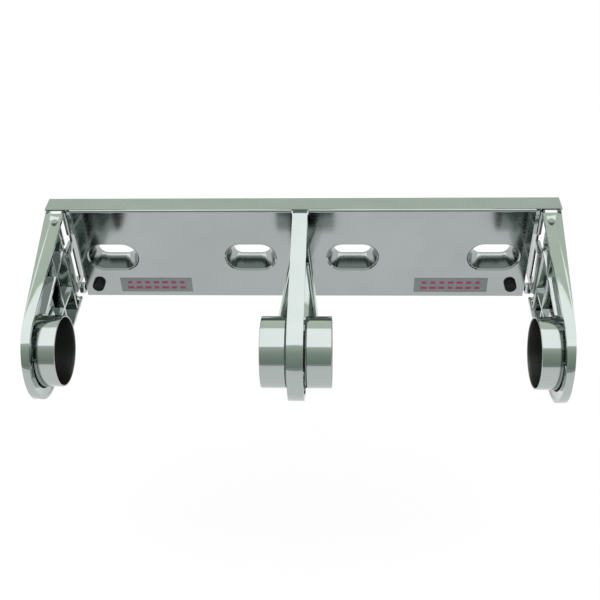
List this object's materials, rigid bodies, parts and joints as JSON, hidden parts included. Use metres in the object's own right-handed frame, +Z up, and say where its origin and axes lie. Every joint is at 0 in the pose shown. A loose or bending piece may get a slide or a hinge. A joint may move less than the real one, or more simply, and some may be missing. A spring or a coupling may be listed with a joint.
{
  "type": "toilet tissue holder",
  "caption": "Wall-mounted twin-roll tissue holder with a slotted back box, a fixed centre arm, swinging end arms, roll cups and push-button releases.",
  "frame": {"origin": "centre of the back box on the wall plane", "axes": "+X to the right as seen from the room, +Y into the wall, +Z up; the front faces -Y"},
  "size_m": [0.31, 0.117, 0.0719],
  "materials": {
    "plated_sheet": "bright plated sheet steel with a faint grain",
    "plated_casting": "polished plated casting",
    "cup_metal": "bright drawn cup",
    "plain_steel": "plain steel",
    "spring_steel": "plated spring steel",
    "button_plastic": "black moulded plastic",
    "label_film": "grey film with plain red bars"
  },
  "bodies": {
    "back": {"back_plate": "plated_sheet", "centre_arm": "plated_casting", "centre_arm_screws": "plain_steel", "centre_cup_left": "cup_metal", "centre_cup_right": "cup_metal", "centre_cup_rivet": "plain_steel", "bracket_left": "plated_sheet", "bracket_right": "plated_sheet", "latch_rivet_left": "plain_steel", "latch_rivet_right": "plain_steel", "label_left": "label_film", "label_right": "label_film"},
    "left_arm": {"arm_left": "plated_casting", "cup_left": "cup_metal", "cup_rivet_left": "plain_steel", "pin_left": "plain_steel"},
    "right_arm": {"arm_right": "plated_casting", "cup_right": "cup_metal", "cup_rivet_right": "plain_steel", "pin_right": "plain_steel"},
    "left_button": {"button_left": "button_plastic"},
    "right_button": {"button_right": "button_plastic"},
    "left_latch": {"latch_left": "spring_steel"},
    "right_latch": {"latch_right": "spring_steel"}
  },
  "joints": [
    {"name": "arm_left_swing", "type": "hinge", "parent": "back", "child": "left_arm", "pos_m": [-0.1475, -0.0206, 0], "axis": [0, 0, -1], "range_deg": [0, 30]},
    {"name": "arm_right_swing", "type": "hinge", "parent": "back", "child": "right_arm", "pos_m": [0.1475, -0.0206, 0], "axis": [0, 0, 1], "range_deg": [0, 30]},
    {"name": "button_left_press", "type": "slide", "parent": "back", "child": "left_button", "axis": [0, 1, 0], "range_m": [0, 0.003], "stiffness_N_per_m": 700, "springref_m": -0.001},
    {"name": "button_right_press", "type": "slide", "parent": "back", "child": "right_button", "axis": [0, 1, 0], "range_m": [0, 0.003], "stiffness_N_per_m": 700, "springref_m": -0.001},
    {"name": "latch_left_turn", "type": "hinge", "parent": "back", "child": "left_latch", "pos_m": [-0.112, -0.006, -0.025], "axis": [0, 0, -1], "range_deg": [0, 10]},
    {"name": "latch_right_turn", "type": "hinge", "parent": "back", "child": "right_latch", "pos_m": [0.112, -0.006, -0.025], "axis": [0, 0, 1], "range_deg": [0, 10]}
  ],
  "couplings": [
    {"joint": "latch_left_turn", "follows": "button_left_press", "rad_per_m": 57.5},
    {"joint": "latch_right_turn", "follows": "button_right_press", "rad_per_m": 57.5}
  ]
}
